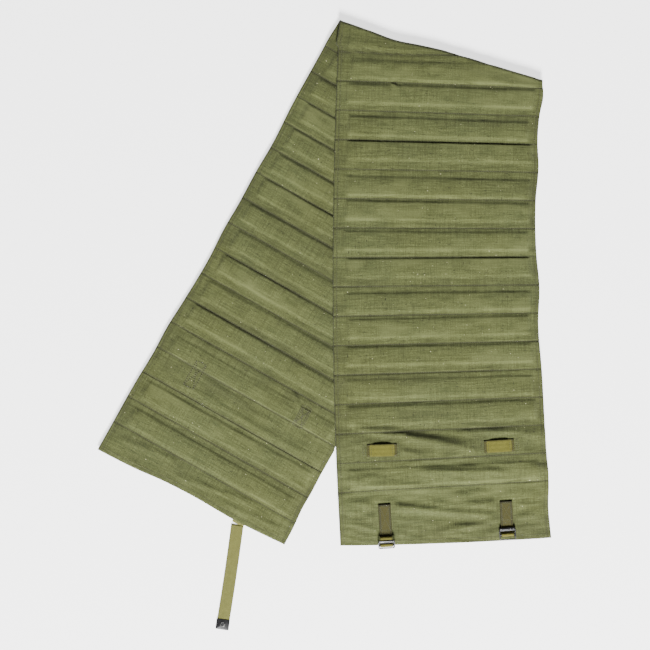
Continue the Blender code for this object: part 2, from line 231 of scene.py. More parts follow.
DOUBLE_SEAM = LOWER_SEAMS_FROM - 14 * PITCH


def strips():
    """Every strip: its two edges along the mat, its two ends, and how askew it lies."""
    found = []
    for n, gap in enumerate(UPPER_GAPS):
        if gap is not None:
            start = FIRST_SEAM + PITCH * (n - 1) + gap
            found.append((start, start + STRIP_WIDTH))
    found.append((FIRST_SEAM - 2 * PITCH + 14, FIRST_SEAM - PITCH - 8))
    for n, gap in enumerate(LOWER_GAPS):
        if gap is not None:
            start = LOWER_SEAMS_FROM - PITCH * n - gap
            found.append((start - STRIP_WIDTH, start))
    rng = np.random.default_rng(4)
    return [
        (
            low,
            high,
            STRIP_LEFT + rng.uniform(-4, 4),
            STRIP_RIGHT + rng.uniform(-6, 4),
            rng.uniform(-0.008, 0.008),
        )
        for low, high in found
    ]


STRIPS = strips()

# Long wrinkles: side, the two ends in U and S, half width and height. Negative heights are valleys.
WRINKLES = (
    ("A", (-190, 778), (-20, 806), 6, 1.4),
    ("A", (-150, 752), (60, 758), 5, -0.9),
    ("A", (-165, 879), (175, 881), 6, -1.0),
    ("A", (-190, 960), (-90, 978), 5, 1.2),
    ("A", (30, 975), (195, 962), 5, 1.2),
    ("A", (-70, 838), (130, 851), 5, 1.3),
    ("A", (-124, 45), (-80, 82), 4, 1.7),
    ("A", (-92, 50), (-60, 100), 5, -0.9),
    ("B", (-190, -748), (190, -748), 8, 1.3),
    ("B", (-190, -762), (190, -764), 5, -0.9),
    ("B", (-180, -838), (190, -834), 7, 1.9),
    ("B", (72, -735), (148, -800), 5, 2.6),
    ("B", (88, -800), (150, -762), 5, 2.4),
    ("B", (60, -775), (178, -770), 4, 1.8),
    ("B", (118, -740), (110, -820), 4, -1.4),
    ("B", (-195, -992), (-50, -976), 6, 1.8),
    ("B", (-60, -1002), (130, -974), 6, 1.8),
    ("B", (50, -1006), (200, -990), 6, 1.5),
    ("B", (-150, -968), (170, -968), 5, -0.9),
    ("B", (-130, -803), (100, -816), 5, 0.9),
    ("B", (-190, -862), (60, -870), 5, 0.9),
)

WAVE = 1.7  # height of the slack end's small waves
# Long folds of the slack end: the two ends, half width and height.
FOLDS = (
    ((-205, 736), (115, 812), 9, 5.0),
    ((-195, 893), (135, 944), 9, 5.4),
    ((-170, 858), (60, 884), 7, 2.4),
    ((-40, 905), (195, 921), 7, 3.2),
    ((-30, 966), (195, 936), 7, 3.6),
    ((-195, 935), (-60, 974), 7, 3.0),
    ((20, 764), (200, 774), 6, 3.0),
    ((-60, 836), (150, 852), 6, 2.0),
)

# Where webbing is sewn on and holds cloth A down: its place across the mat, its two ends along the mat, and
# the cloth's height there.
HELD_DOWN = (
    (-138, 780, 808, 1.6),
    (-96, 780, 808, 1.6),
    (96, 782, 810, 1.6),
    (138, 782, 810, 1.6),
    (-118, 900, 990, 1.2),
    (125, 908, 990, 1.2),
)


def beside(u, s, start, end):
    """Where a place lies beside a line on the mat: the share of the line gone, and how far off the line."""
    run = vec(end) - vec(start)
    length = np.hypot(*run)
    share = ((u - start[0]) * run[0] + (s - start[1]) * run[1]) / length**2
    away = ((u - start[0]) * run[1] - (s - start[1]) * run[0]) / length
    return share, away


def outside(u, s, centre, low, high, half):
    """How far a place lies outside a patch of sewing."""
    return np.maximum(np.maximum(np.abs(u - centre) - half, np.maximum(low - s, s - high)), 0)


def wrinkles(side, u, s):
    total = np.zeros_like(u)
    for face, start, end, width, height in WRINKLES:
        if face != side:
            continue
        t, away = beside(u, s, start, end)
        away = away + 2.5 * noise(u, s, 45, 45, int(abs(start[0]) + abs(start[1])))
        total += height * bell(away, width) * smooth(t * 5) * smooth((1 - t) * 5)
    return total


def seam_distance(s):
    return np.min([np.abs(s - seam) for seam in SEAMS], axis=0)


def strip_relief(u, s):
    """How high the strips lift the cloth."""
    total = np.zeros_like(u)
    edge = np.zeros_like(u)
    for low, high, left, right, askew in STRIPS:
        shift = s - askew * u
        rise = smooth((shift - low + 4) / STRIP_RAMP) * smooth((high + 4 - shift) / STRIP_RAMP)
        from_middle = np.clip((shift - (low + high) / 2) / (STRIP_WIDTH / 2), -1.3, 1.3)
        crown = 1 - STRIP_CROWN * from_middle**2 + 8 * askew * from_middle
        ends = smooth((u - left + 5) / 11) * smooth((right + 5 - u) / 11)
        total = np.maximum(total, rise * ends * crown)
        sharp = bell(shift - low - STRIP_EDGE, EDGE_WIDTH) + bell(high - STRIP_EDGE - shift, EDGE_WIDTH)
        edge = np.maximum(edge, sharp * ends)
    return total, edge


def relief(side, u, s):
    """Height of one of the two cloths over the mat's middle plane."""
    lifted, edge = strip_relief(u, s)
    away = seam_distance(s)
    seed = 10 if side == "A" else 20
    fine = 0.26 * noise(u, s, 75, 8, seed) + 0.15 * noise(u, s, 26, 6, seed + 1)
    cross = 0.25 * noise(u, s, 9, 26, seed + 2) * bell(away, 9)
    broad = 0.9 * noise(u, s, 120, 32, seed + 3)
    height = CLOTH_HALF + 0.3 + STRIP_RISE * lifted + 0.2 * edge + fine + cross + broad * (1 - 0.5 * lifted)
    height += wrinkles(side, u, s) * (1 - 0.4 * lifted)
    height += HEM_RISE * smooth((np.abs(u) - HALF_WIDTH + HEM_WIDTH) / 2)
    seam = bell(away, SEAM_WIDTH)
    height = height * (1 - 0.72 * seam) + (CLOTH_HALF - SEAM_DEPTH) * seam
    hem_line = bell(HALF_WIDTH - np.abs(u) - HEM_WIDTH, 1.3)
    height -= HEM_GROOVE * hem_line
    height = np.clip(height, 0.35, MOST_HALF)
    if side == "A":
        for centre, low, high, most in HELD_DOWN:
            height = np.minimum(height, most + 0.4 * outside(u, s, centre, low, high, 14))
    turned = np.abs(s - u * math.tan(FOLD)) * math.cos(FOLD)
    at_crease = 1 - smooth((turned - 9) / 22)
    limit = 2.7 if side == "A" else 1.2
    return height * (1 - at_crease) + at_crease * np.clip(height * 0.75 + 0.5, 0.6, limit)


def waves(u, s):
    """How far the mat's slack end lifts off what it lies on, where no webbing holds it down."""
    slack = smooth((s - 730) / 25) * smooth((FLAP_END + 14 - s) / 16)
    held = np.ones_like(u)
    for centre, low, high, _ in HELD_DOWN:
        held = np.minimum(held, smooth(outside(u, s, centre, low, high, 13) / 22))
    leaning = noise(u + 1.6 * s, s - 0.22 * u, 150, 21, 51)
    leaning = leaning + 0.7 * noise(u - 2.5 * s, s + 0.30 * u, 90, 17, 52)
    small = 0.5 * noise(u, s - 0.15 * u, 40, 9, 53)
    lift = WAVE * (leaning + small)
    for start, end, width, height in FOLDS:
        t, away = beside(u, s, start, end)
        lift = lift + height * bell(away, width) * smooth(t * 4) * smooth((1 - t) * 4)
    seam = bell(seam_distance(s), 5)
    return np.clip(lift, -1.2, 6.5) * slack * held * (1 - 0.6 * seam)


def middle(u, s):
    """The mat's middle plane: points, and the direction in which face A looks."""
    turned = (s - u * math.tan(FOLD)) * math.cos(FOLD)
    fold_end = math.pi * FOLD_RADIUS / 2
    on_upper, on_lower = turned > fold_end, turned < -fold_end
    angle = np.clip(turned / FOLD_RADIUS, -math.pi / 2, math.pi / 2)
    y = np.where(on_upper, -turned, np.where(on_lower, turned, FOLD_RADIUS * np.cos(angle) - fold_end))
    x = u * math.cos(FOLD) + s * math.sin(FOLD)
    z = FOLD_RADIUS * np.sin(angle)
    y = y + along(CREASE_LINE, x) * (1 - smooth(np.abs(turned) / 55))
    points = CREASE + x[..., None] * CREASE_X + y[..., None] * CREASE_Y + z[..., None] * UP
    facing = np.cos(angle)[..., None] * CREASE_Y + np.sin(angle)[..., None] * UP

    i = np.clip(np.searchsorted(LINE_S, s) - 1, 0, len(LINE_S) - 2)
    t = ((s - LINE_S[i]) / (LINE_S[i + 1] - LINE_S[i]))[..., None]
    lines = LINE_PLACES[i] + u[..., None] * LINE_ACROSS[i]
    next_lines = LINE_PLACES[i + 1] + u[..., None] * LINE_ACROSS[i + 1]
    points = np.where((s >= FIRST_SEAM)[..., None], lines * (1 - t) + next_lines * t, points)
    points[..., 2] -= DROOP * smooth((np.abs(u) - 186) / 19) * smooth((np.abs(turned) - 25) / 40)
    return points, facing


def warp(u, s):
    """Moves U and S so that the mat's edges take their real lines."""
    right = np.where(s > 0, along(UPPER_RIGHT_EDGE, s), along(LOWER_RIGHT_EDGE, -s) * (s < -800))
    left = np.where(s > 0, along(UPPER_LEFT_EDGE, s), along(LOWER_LEFT_EDGE, -s))
    calm = smooth((np.abs(s - u * math.tan(FOLD)) - 5) / 50)
    share = np.clip(np.abs(u) / HALF_WIDTH, 0, 1) ** 2
    moved = u + calm * share * np.where(u > 0, right, -left)
    end = along(LOWER_END_LINE, u) * smooth((s - LOWER_END - PITCH) / -PITCH)
    flap = along(FLAP_END_LINE, u) * smooth((s - FLAP_END + PITCH) / PITCH)
    return moved, s - end + flap


def surface(side, u, s, rim=None):
    """Points of one cloth. At the rim the two cloths meet."""
    height = relief(side, u, s)
    if rim is not None:
        height = height * rim
    points, facing = middle(*warp(u, s))
    return points + facing * (height * (1 if side == "A" else -1) + waves(u, s))[..., None]


def row_places():
    """Where the mesh has its rows, closer at the seams and at the crease."""
    near_seam = (0, 0.8, 1.7, 3.0, 4.8)
    places = {LOWER_END, FLAP_END}
    for seam in SEAMS:
        for away in near_seam:
            places.update((seam - away, seam + away))
        places.add(seam + PITCH / 2)
    places.update(np.arange(-8, 8.1, 0.8))
    places.update(FOLD_PIECE)
    places = sorted(p for p in places if LOWER_END <= p <= FLAP_END)
    kept = [places[0]]
    for place in places[1:]:
        gap = place - kept[-1]
        if gap < 0.3:
            continue
        steps = max(1, round(gap / 2.3))
        start = kept[-1]
        kept += [start + gap * n / steps for n in range(1, steps + 1)]
    return np.array(kept)


ROWS = row_places()
COLUMNS = np.linspace(-HALF_WIDTH, HALF_WIDTH, 125)
RIM = 0.6  # how far the joined rim stands out past the two cloths


def mat_grid():
    """The whole mat as rows of rings: cloth A, the right rim, back along cloth B, and the left rim."""
    u_ring = np.concatenate([COLUMNS, [HALF_WIDTH + RIM], COLUMNS[::-1], [-HALF_WIDTH - RIM]])
    side = np.concatenate([np.ones(len(COLUMNS) + 1), -np.ones(len(COLUMNS) + 1)])
    rim = np.ones(len(u_ring))
    rim[[len(COLUMNS), -1]] = 0.0
    v, u = np.meshgrid(ROWS, u_ring, indexing="ij")
    reach = np.where(v < 0, -FOLD_PIECE[0], FOLD_PIECE[1])
    s = v + u * math.tan(FOLD) * np.clip(1 - np.abs(v) / reach, 0, 1)
    rims = np.broadcast_to(rim, u.shape).copy()
    rims[0] = rims[-1] = 0.0
    points = np.where((side > 0)[None, :, None], surface("A", u, s, rims), surface("B", u, s, rims))
    return points, u, s, np.broadcast_to(side, u.shape)


def grid_normals(points):
    across = np.roll(points, -1, axis=1) - np.roll(points, 1, axis=1)
    down = np.gradient(points, axis=0)
    normals = np.cross(down, across)
    return normals / np.maximum(np.linalg.norm(normals, axis=2, keepdims=True), 1e-9)


def soil_and_painted_light(u, s):
    """Where the cloth is painted darker or lighter: darker in the seams, the hem's sewing, along the rim and
    at the mat's ends, as painted shade and dirt; darker between the strips, as painted shade; lighter along
    the strips' edges, as a painted highlight; and random tone.
    """
    away = seam_distance(s)
    # Painted shade and dirt in the seams, along the rim, in the hem's sewing line and at the mat's two ends.
    dark = 0.75 * bell(away, 1.5)
    dark += 0.55 * bell(HALF_WIDTH - np.abs(u), 1.6)
    dark += 0.35 * bell(HALF_WIDTH - np.abs(u) - HEM_WIDTH, 1.2)
    dark += 0.5 * bell(s - LOWER_END, 2) + 0.5 * bell(s - FLAP_END, 2)
    lifted, edge = strip_relief(u, s)
    # Painted shade on the low cloth between the strips, and a painted highlight along each strip's edge.
    dark += 0.12 * (1 - lifted) - 0.18 * edge
    # Random tone, in small patches and in broad bands across the mat.
    dark += 0.16 * noise(u, s, 30, 12, 31) + 0.22 * noise(u, s, 260, 34, 32)
    return np.clip(dark, -0.4, 1)


def mesh_object(name, points, faces, materials, cloth=None, dark=None, normals=None, face_material=None):
    made = bpy.data.meshes.new(name)
    made.from_pydata((np.asarray(points) * MM).tolist(), [], faces)
    for material in materials:
        made.materials.append(material)
    if face_material is not None:
        made.polygons.foreach_set("material_index", np.asarray(face_material, np.int32))
    if cloth is not None:
        kept = made.attributes.new("cloth", "FLOAT_VECTOR", "POINT")
        kept.data.foreach_set("vector", (np.asarray(cloth, np.float32) * MM).ravel())
    if dark is not None:
        kept = made.attributes.new("soil_and_painted_light", "FLOAT", "POINT")
        kept.data.foreach_set("value", np.asarray(dark, np.float32).ravel())
    made.shade_smooth()
    if normals is not None:
        made.normals_split_custom_set_from_vertices(normals.tolist())
    thing = bpy.data.objects.new(name, made)
    bpy.context.scene.collection.objects.link(thing)
    return thing


def loft_faces(count, ring, closed=False):
    """Faces from each ring of points to the next one, and a face over each end unless the rings close."""
    faces = []
    for i in range(count if closed else count - 1):
        j = (i + 1) % count
        for k in range(ring):
            m = (k + 1) % ring
            faces.append((i * ring + k, i * ring + m, j * ring + m, j * ring + k))
    if not closed:
        faces.append(tuple(range(ring))[::-1])
        faces.append(tuple(range((count - 1) * ring, count * ring)))
    return faces


def thread_mesh(lines):
    """Stitches: each line holds three points and the way that its thread faces."""
    points, faces = [], []
    for ends, facing in lines:
        run = ends[:, 2] - ends[:, 0]
        run = run / np.linalg.norm(run, axis=1, keepdims=True)
        across = np.cross(facing, run)
        for i in range(len(ends)):
            base = len(points)
            for k in range(3):
                for a, b in ((1, 0), (0, 1), (-1, 0), (0, -0.6)):
                    points.append(ends[i, k] + THREAD * (a * across[i] * 1.2 + b * facing[i]))
            for k in (0, 4):
                for m in range(4):
                    n = (m + 1) % 4
                    faces.append((base + k + m, base + k + n, base + k + 4 + n, base + k + 4 + m))
            faces.append((base + 3, base + 2, base + 1, base))
            faces.append((base + 8, base + 9, base + 10, base + 11))
    return points, faces


def stitch_places(start, end):
    """The three points of each stitch on a straight line over the mat."""
    start, end = vec(start), vec(end)
    length = np.hypot(*(end - start))
    count = max(1, int(length / STITCH_PITCH))
    first = (np.arange(count) + 0.1) * STITCH_PITCH
    shares = (first[:, None] + STITCH * vec((0, 0.5, 1))) / length
    return start + shares[..., None] * (end - start)


def surface_stitches(side, start, end):
    """A line of stitches on one cloth."""
    places = stitch_places(start, end)
    u, s = places[..., 0], places[..., 1]
    points = surface(side, u, s)
    _, facing = middle(u, s)
    facing = facing * (1 if side == "A" else -1)
    return points + facing * vec(STITCH_LIFT)[None, :, None], facing[:, 1]


def box_lines(x0, x1, y0, y1, crossed=True):
    """The sides of a rectangle, and its two diagonals."""
    corners = ((x0, y0), (x1, y0), (x1, y1), (x0, y1))
    lines = [(corners[n], corners[(n + 1) % 4]) for n in range(4)]
    if crossed:
        lines += [(corners[0], corners[2]), (corners[1], corners[3])]
    return lines


def box_cross(side, u_range, s_range):
    """A sewn rectangle with a cross in it, every line of it sewn twice."""
    found = []
    for start, end in box_lines(*u_range, *s_range):
        start, end = vec(start), vec(end)
        run = end - start
        aside = vec((-run[1], run[0])) / np.hypot(*run) * TWIN_ROW
        found += [surface_stitches(side, start + way * aside, end + way * aside) for way in (-1, 1)]
    return found


def mat_stitches(low, high):
    """Every line of stitches between two places along the mat."""
    found = []
    for seam in SEAMS:
        if not low <= seam < high:
            continue
        rows = (-1.8, 1.8) if abs(seam - DOUBLE_SEAM) < 1 else (0,)
        reach = HALF_WIDTH - 4
        for row in rows:
            for side in "AB":
                found.append(surface_stitches(side, (-reach, seam + row), (reach, seam + row)))
    hem = HALF_WIDTH - HEM_WIDTH
    for side in "AB":
        for u in (-hem, hem):
            start, end = max(low, LOWER_END + 3), min(high, FLAP_END - 3)
            crease = u * math.tan(FOLD)
            for a, b in ((start, min(end, crease - 9)), (max(start, crease + 9), end)):
                if b - a > 8:
                    found.append(surface_stitches(side, (u, a), (u, b)))
    for s in (LOWER_END + END_HEM, FLAP_END - END_HEM):
        if low < s < high:
            found += [surface_stitches(side, (-hem, s), (hem, s)) for side in "AB"]
    return found


# Materials.


class Nodes:
    """A material's node tree, with short calls to add to it."""

    def __init__(self, name):
        self.material = bpy.data.materials.new(name)
        self.material.use_nodes = True
        self.tree = self.material.node_tree
        self.shader = self.tree.nodes["Principled BSDF"]

    def add(self, kind, **values):
        node = self.tree.nodes.new(kind)
        for name, value in values.items():
            setattr(node, name, value)
        return node

    def link(self, source, target):
        self.tree.links.new(source, target)

    def place(self, name, scale):
        """A named place on the cloth, stretched by these scales."""
        read = self.add("ShaderNodeAttribute", attribute_name=name)
        mapped = self.add("ShaderNodeMapping")
        mapped.inputs["Scale"].default_value = scale
        self.link(read.outputs["Vector"], mapped.inputs["Vector"])
        return mapped.outputs["Vector"]

    def noise(self, place, scale, detail=2.0, roughness=0.5):
        node = self.add("ShaderNodeTexNoise")
        node.inputs["Scale"].default_value = scale
        node.inputs["Detail"].default_value = detail
        node.inputs["Roughness"].default_value = roughness
        self.link(place, node.inputs["Vector"])
        return node.outputs["Fac"]

    def wave(self, place, direction, period):
        node = self.add("ShaderNodeTexWave", bands_direction=direction)
        node.inputs["Scale"].default_value = math.pi / 10 / period
        node.inputs["Distortion"].default_value = 1.2
        node.inputs["Detail"].default_value = 2
        node.inputs["Detail Scale"].default_value = 1.5
        self.link(place, node.inputs["Vector"])
        return node.outputs["Fac"]

    def ramp(self, value, low, high, start=0.0, end=1.0):
        node = self.add("ShaderNodeMapRange")
        node.inputs["From Min"].default_value = low
        node.inputs["From Max"].default_value = high
        node.inputs["To Min"].default_value = start
        node.inputs["To Max"].default_value = end
        self.link(value, node.inputs["Value"])
        return node.outputs["Result"]

    def mix(self, share, first, second):
        node = self.add("ShaderNodeMix", data_type="RGBA")
        for value, name in ((share, 0), (first, 6), (second, 7)):
            if isinstance(value, bpy.types.NodeSocket):
                self.link(value, node.inputs[name])
            elif name == 0:
                node.inputs[0].default_value = value
            else:
                node.inputs[name].default_value = (*value, 1)
        return node.outputs[2]

    def sum(self, first, second):
        node = self.add("ShaderNodeMath", operation="ADD")
        self.link(first, node.inputs[0])
        self.link(second, node.inputs[1])
        return node.outputs[0]

    def bump(self, height, strength, distance, after=None):
        node = self.add("ShaderNodeBump")
        node.inputs["Strength"].default_value = strength
        node.inputs["Distance"].default_value = distance
        self.link(height, node.inputs["Height"])
        if after is not None:
            self.link(after, node.inputs["Normal"])
        return node.outputs["Normal"]


OLIVE = (0.052, 0.060, 0.014)
GREY_GREEN = (0.050, 0.062, 0.019)
DARK_OLIVE = (0.016, 0.017, 0.005)
FADED_WEFT = (0.100, 0.114, 0.038)
DARK_WARP = (0.034, 0.038, 0.009)
GRAIN = (0.032, 0.036, 0.008)
LINT = (0.36, 0.36, 0.20)
RIDGE_HIGHLIGHT_OLIVE = (0.105, 0.118, 0.040)
THREAD_LOW = (0.028, 0.030, 0.012)
THREAD_HIGH = (0.075, 0.078, 0.032)


def canvas_material():
    n = Nodes("olive_canvas")
    cloth = n.place("cloth", (1, 1, 1))
    read = n.add("ShaderNodeAttribute", attribute_name="soil_and_painted_light")
    patches = n.noise(cloth, 7, 3)
    colour = n.mix(n.ramp(patches, 0.36, 0.64), OLIVE, GREY_GREEN)
    streaks = n.noise(n.place("cloth", (25, 330, 1)), 1.0, 3, 0.6)
    colour = n.mix(n.ramp(streaks, 0.36, 0.64, 0.0, 0.9), colour, FADED_WEFT)
    warp_streaks = n.noise(n.place("cloth", (420, 18, 1)), 1.0, 2, 0.6)
    colour = n.mix(n.ramp(warp_streaks, 0.42, 0.66, 0.0, 0.55), colour, DARK_WARP)
    grain = n.noise(cloth, 520, 2, 0.6)
    colour = n.mix(n.ramp(grain, 0.42, 0.66, 0.0, 0.7), colour, GRAIN)
    slubs = n.noise(n.place("cloth", (95, 620, 1)), 1.0, 1, 0.5)
    colour = n.mix(n.ramp(slubs, 0.66, 0.72), colour, DARK_OLIVE)
    knots = n.noise(n.place("cloth", (380, 90, 1)), 1.0, 1, 0.5)
    colour = n.mix(n.ramp(knots, 0.71, 0.77), colour, DARK_OLIVE)
    lint = n.noise(n.place("cloth", (330, 350, 40)), 1.0, 0, 0.5)
    colour = n.mix(n.ramp(lint, 0.875, 0.89), colour, LINT)
    # Painted shade and dirt: darker olive in the seams, along the rim and between the strips.
    colour = n.mix(n.ramp(read.outputs["Fac"], 0.05, 1.0, 0.0, 0.85), colour, DARK_OLIVE)
    # Painted highlight: lighter olive along the strips' edges, and where the random tone is light.
    colour = n.mix(n.ramp(read.outputs["Fac"], 0.0, -0.35, 0.0, 0.6), colour, RIDGE_HIGHLIGHT_OLIVE)
    n.link(colour, n.shader.inputs["Base Color"])
    threads = n.sum(n.wave(cloth, "X", 0.0008), n.wave(cloth, "Y", 0.0007))
    rough = n.ramp(grain, 0.3, 0.7, 0.82, 0.98)
    n.link(rough, n.shader.inputs["Roughness"])
    normal = n.bump(streaks, 0.35, 0.0006)
    normal = n.bump(grain, 0.30, 0.0005, normal)
    normal = n.bump(threads, 0.22, 0.0003, normal)
    n.link(normal, n.shader.inputs["Normal"])
    n.shader.inputs["Specular IOR Level"].default_value = 0.25
    n.shader.inputs["Sheen Weight"].default_value = 0.12
    n.shader.inputs["Sheen Roughness"].default_value = 0.5
    return n.material


def webbing_material(name, colour, dark):
    n = Nodes(name)
    cloth = n.place("cloth", (1, 1, 1))
    read = n.add("ShaderNodeAttribute", attribute_name="soil_and_painted_light")
    ribs = n.wave(cloth, "Y", 0.0016)
    cords = n.wave(cloth, "X", 0.0011)
    shade = n.mix(n.ramp(ribs, 0.0, 0.6, 0.35, 0.0), colour, dark)
    worn = n.noise(cloth, 90, 3, 0.6)
    shade = n.mix(n.ramp(worn, 0.45, 0.75, 0.0, 0.4), shade, tuple(min(1, 1.35 * c) for c in colour))
    grain = n.noise(cloth, 900, 1)
    shade = n.mix(n.ramp(grain, 0.5, 0.75, 0.0, 0.5), shade, dark)
    # Darker where the webbing carries painted shade and dirt.
    shade = n.mix(n.ramp(read.outputs["Fac"], 0.0, 1.0, 0.0, 0.9), shade, dark)
    n.link(shade, n.shader.inputs["Base Color"])
    n.link(n.ramp(grain, 0.3, 0.7, 0.75, 0.95), n.shader.inputs["Roughness"])
    normal = n.bump(ribs, 0.5, 0.0004)
    normal = n.bump(cords, 0.3, 0.0003, normal)
    n.link(normal, n.shader.inputs["Normal"])
    n.shader.inputs["Specular IOR Level"].default_value = 0.3
    return n.material


def metal_material(name, colour, bare, metallic, roughness, worn_from):
    n = Nodes(name)
    place = n.add("ShaderNodeTexCoord").outputs["Object"]
    worn = n.noise(place, 260, 4, 0.65)
    shade = n.mix(n.ramp(worn, worn_from, worn_from + 0.08), colour, bare)
    n.link(shade, n.shader.inputs["Base Color"])
    n.link(n.ramp(worn, 0.3, 0.7, roughness, roughness + 0.25), n.shader.inputs["Roughness"])
    n.link(n.bump(n.noise(place, 900, 2), 0.25, 0.0002), n.shader.inputs["Normal"])
    n.shader.inputs["Metallic"].default_value = metallic
    return n.material


def thread_material():
    n = Nodes("dark_thread")
    place = n.add("ShaderNodeTexCoord").outputs["Object"]
    twist = n.noise(place, 1500, 1)
    n.link(n.mix(n.ramp(twist, 0.3, 0.7), THREAD_LOW, THREAD_HIGH), n.shader.inputs["Base Color"])
    n.link(n.bump(twist, 0.4, 0.0002), n.shader.inputs["Normal"])
    n.shader.inputs["Roughness"].default_value = 0.85
    return n.material


def floor_material():
    n = Nodes("pale_floor")
    place = n.add("ShaderNodeTexCoord").outputs["Object"]
    shade = n.mix(n.noise(place, 3, 2), (0.86, 0.86, 0.855), (0.88, 0.88, 0.875))
    n.link(shade, n.shader.inputs["Base Color"])
    n.shader.inputs["Roughness"].default_value = 0.9
    n.shader.inputs["Emission Color"].default_value = (1, 1, 1, 1)
    n.shader.inputs["Emission Strength"].default_value = 1.8
    return n.material


CANVAS = canvas_material()
KEEPER_WEB = webbing_material("keeper_webbing", (0.105, 0.101, 0.013), (0.016, 0.016, 0.004))
TAIL_WEB = webbing_material("strap_webbing", (0.118, 0.118, 0.027), (0.035, 0.036, 0.009))
TAB_WEB = webbing_material("tab_webbing", (0.098, 0.090, 0.011), (0.007, 0.007, 0.002))
BLACK = metal_material("black_enamel", (0.012, 0.012, 0.013), (0.16, 0.155, 0.14), 0.35, 0.32, 0.63)
STEEL = metal_material("worn_steel", (0.06, 0.06, 0.06), (0.35, 0.35, 0.33), 0.9, 0.34, 0.54)
THREAD_DARK = thread_material()


# The mat's pieces.

GRID, GRID_U, GRID_S, GRID_SIDE = mat_grid()
GRID_NORMALS = grid_normals(GRID)
GRID_SOIL_AND_PAINTED_LIGHT = soil_and_painted_light(GRID_U, GRID_S)


def mat_piece(name, low, high):
    """The stretch of the mat between two places along it, with its stitches."""
    rows = np.where((ROWS >= low - 0.05) & (ROWS <= high + 0.05))[0]
    ring = GRID.shape[1]
    points = GRID[rows].reshape(-1, 3)
    normals = GRID_NORMALS[rows].reshape(-1, 3)
    cloth = np.stack([GRID_U[rows], GRID_S[rows], 40 * GRID_SIDE[rows]], axis=-1).reshape(-1, 3)
    dark = GRID_SOIL_AND_PAINTED_LIGHT[rows].reshape(-1)
    faces = []
    for i in range(len(rows) - 1):
        here, there = i * ring, (i + 1) * ring
        faces += [(here + k, there + k, there + (k + 1) % ring, here + (k + 1) % ring) for k in range(ring)]
    canvas_faces = len(faces)
    sewn, sewn_faces = thread_mesh(mat_stitches(low, high) + EXTRA_STITCHES.get(name, []))
    faces += [tuple(len(points) + corner for corner in face) for face in sewn_faces]
    sewn = np.array(sewn).reshape(-1, 3)
    all_points = np.vstack([points, sewn])
    cloth = np.vstack([cloth, sewn])
    dark = np.concatenate([dark, np.zeros(len(sewn))])
    normals = np.vstack([normals, np.zeros((len(sewn), 3))])
    face_material = [0] * canvas_faces + [1] * len(sewn_faces)
    made = mesh_object(name, all_points, faces, [CANVAS, THREAD_DARK], cloth, dark, normals, face_material)
    return made


def keeper_sewing():
    """The rows of stitches just past both ends of each keeper."""
    found = []
    for centre, low in ((-117, 782), (117, 784)):
        for end in (-1, 1):
            for away in KEEPER_SEWN:
                u = centre + end * away
                found.append(surface_stitches("A", (u, low - 1), (u, low + 25)))
            for s in (low - 1, low + 25):
                inner, outer = sorted(centre + end * away for away in KEEPER_SEWN)
                found.append(surface_stitches("A", (inner - 1, s), (outer + 1, s)))
    return found


EXTRA_STITCHES = {
    "cloth_upper_14": keeper_sewing(),
    "cloth_lower_leg": box_cross("B", (-121, -99), (-834, -779)) + box_cross("B", (108, 128), (-797, -752))
    + box_cross("B", (111, 125), (-790, -758)),
}


def bent(made, centre, down):
    """Bakes the piece's placement into its mesh."""
    centre, down = vec(centre), vec(down)
    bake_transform(made)


def numbered(stem, numbers):
    return [f"{stem}_{n:02d}" for n in numbers]


def build_mat():
    lower_middle = {n: LOWER_SEAMS_FROM - PITCH * (n - 0.5) for n in range(1, LOWER_POCKETS + 1)}
    made = mat_piece("cloth_lower_16", LOWER_END, lower_middle[15])
    bent(made, joint_place("lower_seam_16"), -LOWER_Y)
    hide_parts("lower_pocket_16", "lower_strip_16")
    made = mat_piece("cloth_lower_15", lower_middle[15], lower_middle[14])
    bent(made, joint_place("lower_seam_15"), -LOWER_Y)
    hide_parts("lower_pocket_15", "lower_strip_15")
    made = mat_piece("cloth_lower_leg", lower_middle[14], FOLD_PIECE[0])
    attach(made, "lower_leg")
    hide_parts("lower_cover", *numbered("lower_strip", range(1, 14)))
    made = mat_piece("cloth_fold", *FOLD_PIECE)
    bent(made, CREASE, UP)
    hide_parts("fold_cover_upper", "fold_strip_upper", "fold_strip_lower")

    ends = [FIRST_SEAM + PITCH * (n - 0.5) for n in range(1, UPPER_POCKETS + 1)]
    ends = [FOLD_PIECE[1], *ends, FLAP_END]
    for n, name in enumerate(HINGES, 1):
        made = mat_piece(f"cloth_upper_{n:02d}", ends[n - 1], ends[n])
        down = LINE_PLACES[n] - LINE_PLACES[n - 1]
        bent(made, HINGE_PLACES[n - 1], down / np.linalg.norm(down))
        if n <= UPPER_POCKETS:
            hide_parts(f"upper_pocket_{n:02d}")
            if UPPER_GAPS[n] is not None:
                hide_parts(f"upper_strip_{n:02d}")
        else:
            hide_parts("buckle_flap")


# Webbing.


